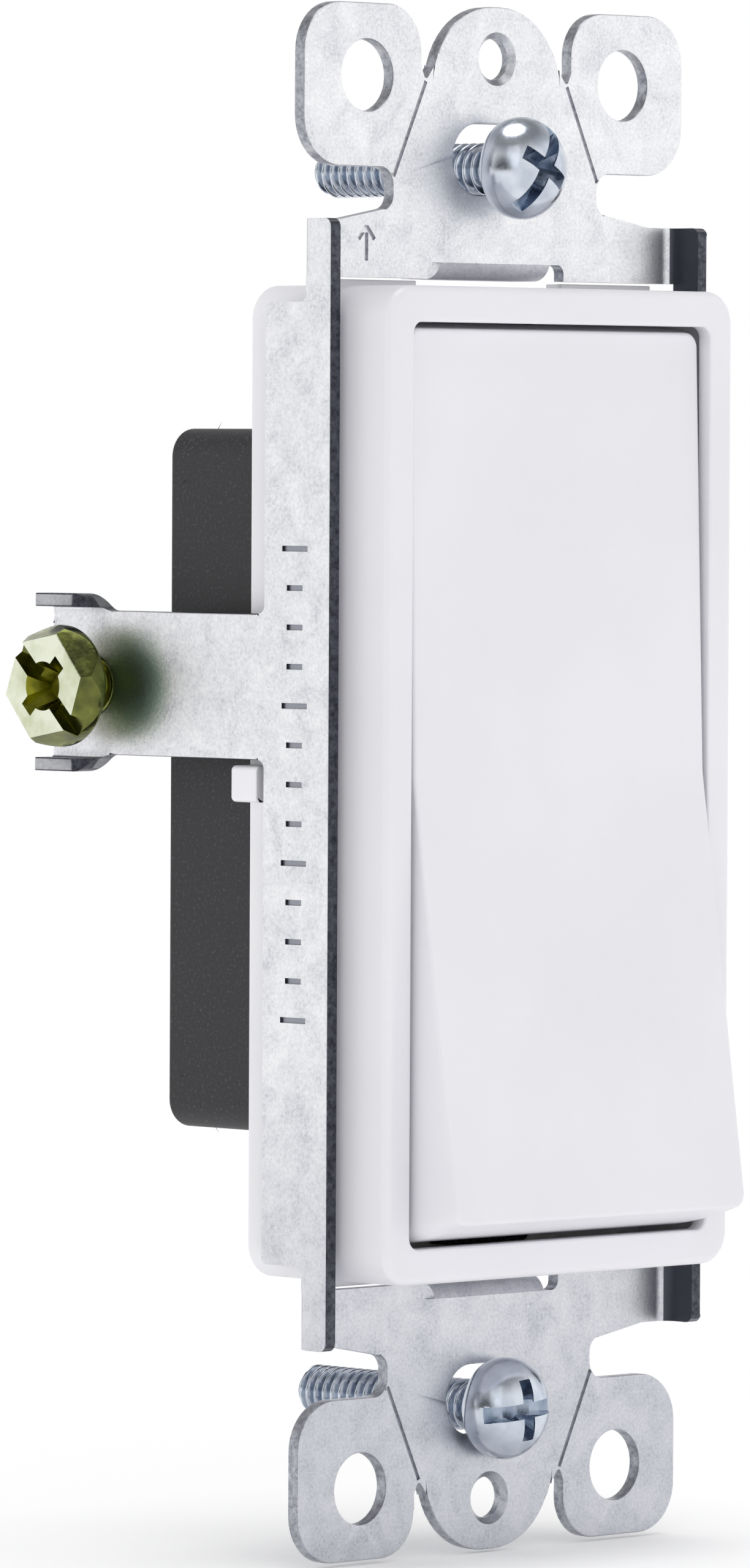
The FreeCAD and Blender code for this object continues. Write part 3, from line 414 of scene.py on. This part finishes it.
def strap_sheet():
    """The strap's solid with the outer edges of its front faces rolled over, as a shear leaves them."""
    sheet = bmesh.new()
    sheet.from_mesh(nodes["mounting_strap"].data)
    bmesh.ops.remove_doubles(sheet, verts=sheet.verts, dist=SAME_PLACE * MM)
    front, rail_front, rail_x, hair = (v * MM for v in (STRAP_FRONT_Y, RAIL_FRONT_Y, RAIL_OUTER_X, HAIR))
    (notch_in, notch_out), (notch_low, notch_high) = ([v * MM for v in pair] for pair in (NOTCH_X, NOTCH_Z))
    bend_from, bend_to = (v * MM for v in TAB_BEND_Y)
    rolled = []
    for edge in sheet.edges:
        if len(edge.link_faces) != 2 or edge.calc_face_angle() < SHEARED_ANGLE:
            continue
        a, b = edge.verts[0].co, edge.verts[1].co
        mid = (a + b) / 2
        deep = max(v.co.y for f in edge.link_faces for v in f.verts) > THROUGH_Y * MM
        on_front = abs(a.y - front) < hair and abs(b.y - front) < hair and deep
        in_notch = notch_in < abs(mid.x) < notch_out and notch_low < abs(mid.z) < notch_high
        plate = on_front and abs(mid.z) > PLATE_FROM_Z * MM and not in_notch
        on_rail_face = abs(abs(a.x) - rail_x) < hair and abs(abs(b.x) - rail_x) < hair
        rail = on_rail_face and abs(a.y - rail_front) < hair and abs(b.y - rail_front) < hair
        tab = on_rail_face and mid.x < 0 and mid.y > TAB_FROM_Y * MM and not bend_from < mid.y < bend_to
        if plate or rail or tab:
            rolled.append(edge)
    bmesh.ops.bevel(sheet, geom=rolled, offset=SHEAR_ROLL * MM, segments=2, profile=0.5, affect="EDGES",
                    clamp_overlap=False)
    for face in sheet.faces:
        face.smooth = True
    for edge in sheet.edges:
        if len(edge.link_faces) == 2 and edge.calc_face_angle() > CREASE_ANGLE:
            edge.smooth = False
    data = bpy.data.meshes.new("strap_sheet")
    sheet.to_mesh(data)
    data.materials.append(GALVANISED)
    piece = bpy.data.objects.new("strap_sheet", data)
    bpy.context.scene.collection.objects.link(piece)
    even = piece.modifiers.new("even_normals", "WEIGHTED_NORMAL")
    even.keep_sharp = True
    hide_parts("mounting_strap")
    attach(piece, "switch_body")


strap_sheet()


# ---- screws with a true helical thread -----------------------------------------------
THREAD_DEPTH = 0.6 * THREAD_PITCH
FLANK, CREST_GAIN = 0.42, 1.18           # half-width of the ridge in pitches, and how flat its crest is
TIP_RUNOUT, HEAD_RUNOUT = 0.9, 0.6       # pitches over which the thread fades out
TIP_TAPER = 0.25                         # thread depths by which the tip narrows
# the driving recess and the thread's root take a darker tone, which is painted shade
ROOT_TONE = 0.25                         # pitches inside the crest from which the thread is dark
RIM_ANGLE, SHARP_ANGLE = math.radians(28), math.radians(42)
HEAD_FOOT, RECESS_REACH = 0.1, 1.25      # shares of the crown's height and of the recess radius
FLOOR_TOP, FLOOR_LEVEL = 0.8, 0.97       # recess floor: share of the crown's height, how squarely it looks out
WALL_ACROSS, WALL_INWARD = 0.25, -0.1    # recess wall: how far its normal leans round, and inward
RIM_ROLL = 0.10                          # mm


def helical_shank(mesh, radius, length, pitch, depth, turn_points=40, rows_per_turn=10):
    """Adds a threaded shank to a bmesh, from the origin down -Z, with all lengths in metres."""
    rows = int(length / pitch * rows_per_turn)
    rings = []
    for row in range(rows + 1):
        z = length * row / rows
        ring = []
        for k in range(turn_points):
            angle = 2 * math.pi * k / turn_points
            phase = (z / pitch - k / turn_points) % 1.0
            crest = max(0.0, 1.0 - abs(phase - 0.5) / FLANK)
            crest = min(1.0, crest * CREST_GAIN)
            near_tip = min(1.0, max(0.0, (length - z) / (TIP_RUNOUT * pitch)))
            near_head = min(1.0, z / (HEAD_RUNOUT * pitch))
            r = radius - depth + depth * crest * near_tip * near_head
            r -= TIP_TAPER * depth * (1.0 - near_tip)
            ring.append(mesh.verts.new((r * math.cos(angle), r * math.sin(angle), -z)))
        rings.append(ring)
    for upper, lower in zip(rings, rings[1:]):
        for k in range(turn_points):
            after = (k + 1) % turn_points
            mesh.faces.new((upper[k], lower[k], lower[after], upper[after]))
    mesh.faces.new(rings[-1][::-1])


def sunk(face, crown, recess_radius, root_radius):
    """True for a face in the driving recess or at the root of the thread, in the screw's own frame.

    A recess wall looks across the head or towards its axis. A recess floor looks out, below the crown.
    """
    middle = face.calc_center_median()
    radial = Vector((middle.x, middle.y, 0))
    if middle.z < 0:
        return radial.length < root_radius
    if middle.z < HEAD_FOOT * crown or radial.length > RECESS_REACH * recess_radius:
        return False
    normal = face.normal
    radial.normalize()
    across = abs(normal.dot(radial.cross(Vector((0, 0, 1)))))
    floor_of_recess = normal.z > FLOOR_LEVEL and middle.z < FLOOR_TOP * crown
    return across > WALL_ACROSS or normal.dot(radial) < WALL_INWARD or floor_of_recess


def screw(name, node, finishes, outward, radius, length, recess_radius):
    """Head from the CAD solid with its rim eased, shank cut with a real helix; it stands for the node.

    finishes holds the plated skin and the darker tone of the recess and the thread's root, which is painted
    shade, and on the green screw also chromate pooled in the recess.
    """
    low, high = (Vector(corner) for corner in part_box(node))
    far_tip = [low[i] if outward[i] > 0 else high[i] for i in range(3)]
    origin = Vector([far_tip[i] + outward[i] * length * MM if outward[i] else (low[i] + high[i]) / 2
                     for i in range(3)])
    head = bmesh.new()
    head.from_mesh(nodes[node].data)
    bmesh.ops.remove_doubles(head, verts=head.verts, dist=SAME_PLACE * MM)
    turn = Vector((0, 0, 1)).rotation_difference(Vector(outward))
    to_row = Matrix.Translation(origin) @ turn.to_matrix().to_4x4()
    head.transform(to_row.inverted())
    bmesh.ops.bisect_plane(head, geom=head.verts[:] + head.edges[:] + head.faces[:], dist=1e-7,
                           plane_co=(0, 0, -0.02 * MM), plane_no=(0, 0, 1), clear_inner=True)
    rim = [edge for edge in head.edges if len(edge.link_faces) == 2
           and edge.calc_face_angle() > RIM_ANGLE
           and all(v.co.xy.length > recess_radius * MM for v in edge.verts)]
    bmesh.ops.bevel(head, geom=rim, offset=RIM_ROLL * MM, segments=2, profile=0.5, affect="EDGES",
                    clamp_overlap=True)
    shank = bmesh.new()
    helical_shank(shank, radius * MM, length * MM, THREAD_PITCH * MM, THREAD_DEPTH * MM)
    joined = bpy.data.meshes.new(name + "_shank")
    shank.to_mesh(joined)
    head.from_mesh(joined)
    crown = max(v.co.z for v in head.verts)
    root_radius = (radius - ROOT_TONE * THREAD_PITCH) * MM
    for face in head.faces:
        face.smooth = True
        # faces in the recess and at the thread's root take the second finish, with its painted shade
        face.material_index = int(sunk(face, crown, recess_radius * MM, root_radius))
    for edge in head.edges:
        sharp = len(edge.link_faces) == 2 and edge.calc_face_angle() > SHARP_ANGLE
        edge.smooth = not (sharp and min(v.co.z for v in edge.verts) > 0)
    head.transform(to_row)
    data = bpy.data.meshes.new(name)
    head.to_mesh(data)
    for finish in finishes:
        data.materials.append(finish)
    piece = bpy.data.objects.new(name, data)
    bpy.context.scene.collection.objects.link(piece)
    even = piece.modifiers.new("even_normals", "WEIGHTED_NORMAL")
    even.keep_sharp = True
    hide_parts(node)
    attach(piece, node)


TOWARD_ROOM, TO_RIGHT, TO_LEFT = (0, -1, 0), (1, 0, 0), (-1, 0, 0)
BRIGHT, GREENED = (ZINC, ZINC_SHADE_TONE), (GREEN, GREEN_POOL_AND_SHADE_TONE)
# name, node, finishes, outward, then radius, length and recess radius in mm
for row in (
        ("upper_box_screw", "upper_mounting_screw", BRIGHT, TOWARD_ROOM, 1.75, 18.0, 2.7),
        ("lower_box_screw", "lower_mounting_screw", BRIGHT, TOWARD_ROOM, 1.75, 18.0, 2.7),
        ("upper_wire_screw", "upper_terminal_screw", BRIGHT, TO_RIGHT, 2.0, 5.0, 2.9),
        ("lower_wire_screw", "lower_terminal_screw", BRIGHT, TO_RIGHT, 2.0, 5.0, 2.9),
        ("green_ground_screw", "ground_screw", GREENED, TO_LEFT, 2.05, 4.6, 2.35)):
    screw(*row)


# ---- floor, light and camera ---------------------------------------------------------
FLOOR_HALF = 3.0                                 # metres
FLOOR_GAP = 0.2                                  # mm under the object
CARD_HALF, CARD_PLACE = 0.75, (-0.88, -0.34, 0.0)   # metres
CARD_SOLID_R, CARD_GONE_R = 0.25, 0.7            # metres from its middle, where it starts and ends fading


def floor():
    """Plain pale floor just under the object, faintly lit from below as an opal table is."""
    grid = bmesh.new()
    bmesh.ops.create_grid(grid, x_segments=2, y_segments=2, size=FLOOR_HALF)
    data = bpy.data.meshes.new("studio_floor")
    grid.to_mesh(data)
    ground = bpy.data.objects.new("studio_floor", data)
    ground.location = (0, 0, cad_low[2] - FLOOR_GAP * MM)
    bpy.context.scene.collection.objects.link(ground)
    material, _, shader, _ = new_finish("floor_paper_white", Roughness=0.9, Specular_IOR_Level=0.0)
    shader.inputs["Base Color"].default_value = srgb("#FFFFFF")
    shader.inputs["Emission Color"].default_value = srgb("#FFFFFF")
    shader.inputs["Emission Strength"].default_value = 0.15
    data.materials.append(material)


def softbox(name, place, aim, size, watts):
    """Rectangular area light, pointed at aim."""
    lamp = bpy.data.lights.new(name, "AREA")
    lamp.shape = "RECTANGLE"
    lamp.size, lamp.size_y = size
    lamp.energy = watts
    holder = bpy.data.objects.new(name, lamp)
    holder.location = place
    holder.rotation_euler = (Vector(aim) - Vector(place)).to_track_quat("-Z", "Y").to_euler()
    bpy.context.scene.collection.objects.link(holder)


def dark_card():
    """Soft-edged black card to the left for bright metal to mirror, hidden from sight and diffuse light."""
    card = bmesh.new()
    bmesh.ops.create_grid(card, x_segments=1, y_segments=1, size=CARD_HALF)
    data = bpy.data.meshes.new("dark_card")
    card.to_mesh(data)
    flag = bpy.data.objects.new("dark_card", data)
    flag.location = CARD_PLACE
    flag.rotation_euler = Vector(flag.location).to_track_quat("Z", "Y").to_euler()
    bpy.context.scene.collection.objects.link(flag)
    flag.visible_camera = False
    flag.visible_diffuse = False
    material, tree, shader, place = new_finish("card_black_matt", Roughness=0.9)
    shader.inputs["Base Color"].default_value = srgb("#131316")
    from_middle = add(tree, "ShaderNodeVectorMath", {"operation": "LENGTH"}, {0: place})
    fade = add(tree, "ShaderNodeMapRange", {"From Min": CARD_SOLID_R, "From Max": CARD_GONE_R,
                                            "To Min": 0.9, "To Max": 0.0}, {"Value": (from_middle, "Value")})
    tree.links.new(fade.outputs["Result"], shader.inputs["Alpha"])
    data.materials.append(material)


floor()
dark_card()
softbox("key_front_left", (-0.55, -0.75, 0.45), (0, 0, 0), (0.6, 0.8), 0.6)
softbox("fill_right", (0.9, -0.5, 0.1), (0, 0, 0), (0.5, 0.9), 0.3)
overhead = bpy.data.lights.new("overhead", "SUN")
overhead.energy = 1.0
overhead.angle = math.radians(40)
bpy.context.scene.collection.objects.link(bpy.data.objects.new("overhead", overhead))

world = bpy.data.worlds.new("studio")
world.use_nodes = True
bpy.context.scene.world = world
sky = world.node_tree
way = add(sky, "ShaderNodeTexCoord")
height = add(sky, "ShaderNodeSeparateXYZ", {}, {0: (way, "Generated")})
band = stops(add(sky, "ShaderNodeValToRGB", {}, {"Fac": (height, "Z")}), (0.30, 1.0), (0.75, 0.35))
sky.links.new(band.outputs["Color"], sky.nodes["Background"].inputs["Color"])
sky.nodes["Background"].inputs["Strength"].default_value = 1.0
bpy.context.scene.view_settings.view_transform = "Standard"

AZIMUTH, ELEVATION, ROLL = math.radians(45.2), math.radians(1.81), math.radians(0.31)
DISTANCE = 684.83 * MM
AIM = Vector((0, 0.2 * MM, 0))
SENSOR_HEIGHT, FOCAL_LENGTH = 36.0, 233.40       # mm
SHIFT_X, SHIFT_Y = -0.0679, -0.0028
ahead = Vector((math.sin(AZIMUTH) * math.cos(ELEVATION), math.cos(AZIMUTH) * math.cos(ELEVATION),
                -math.sin(ELEVATION)))
right = Vector((math.cos(AZIMUTH), -math.sin(AZIMUTH), 0))
up = right.cross(ahead)
tilted_right = math.cos(ROLL) * right + math.sin(ROLL) * up
tilted_up = -math.sin(ROLL) * right + math.cos(ROLL) * up
lens = bpy.data.cameras.new("camera")
lens.sensor_fit = "VERTICAL"
lens.sensor_height = SENSOR_HEIGHT
lens.lens = FOCAL_LENGTH
lens.shift_x, lens.shift_y = SHIFT_X, SHIFT_Y
lens.clip_start, lens.clip_end = 0.05, 20.0
camera = bpy.data.objects.new("camera", lens)
bpy.context.scene.collection.objects.link(camera)
turn = Matrix((tilted_right, tilted_up, -ahead)).transposed().to_4x4()
camera.matrix_world = Matrix.Translation(-DISTANCE * ahead + AIM) @ turn
bpy.context.scene.camera = camera
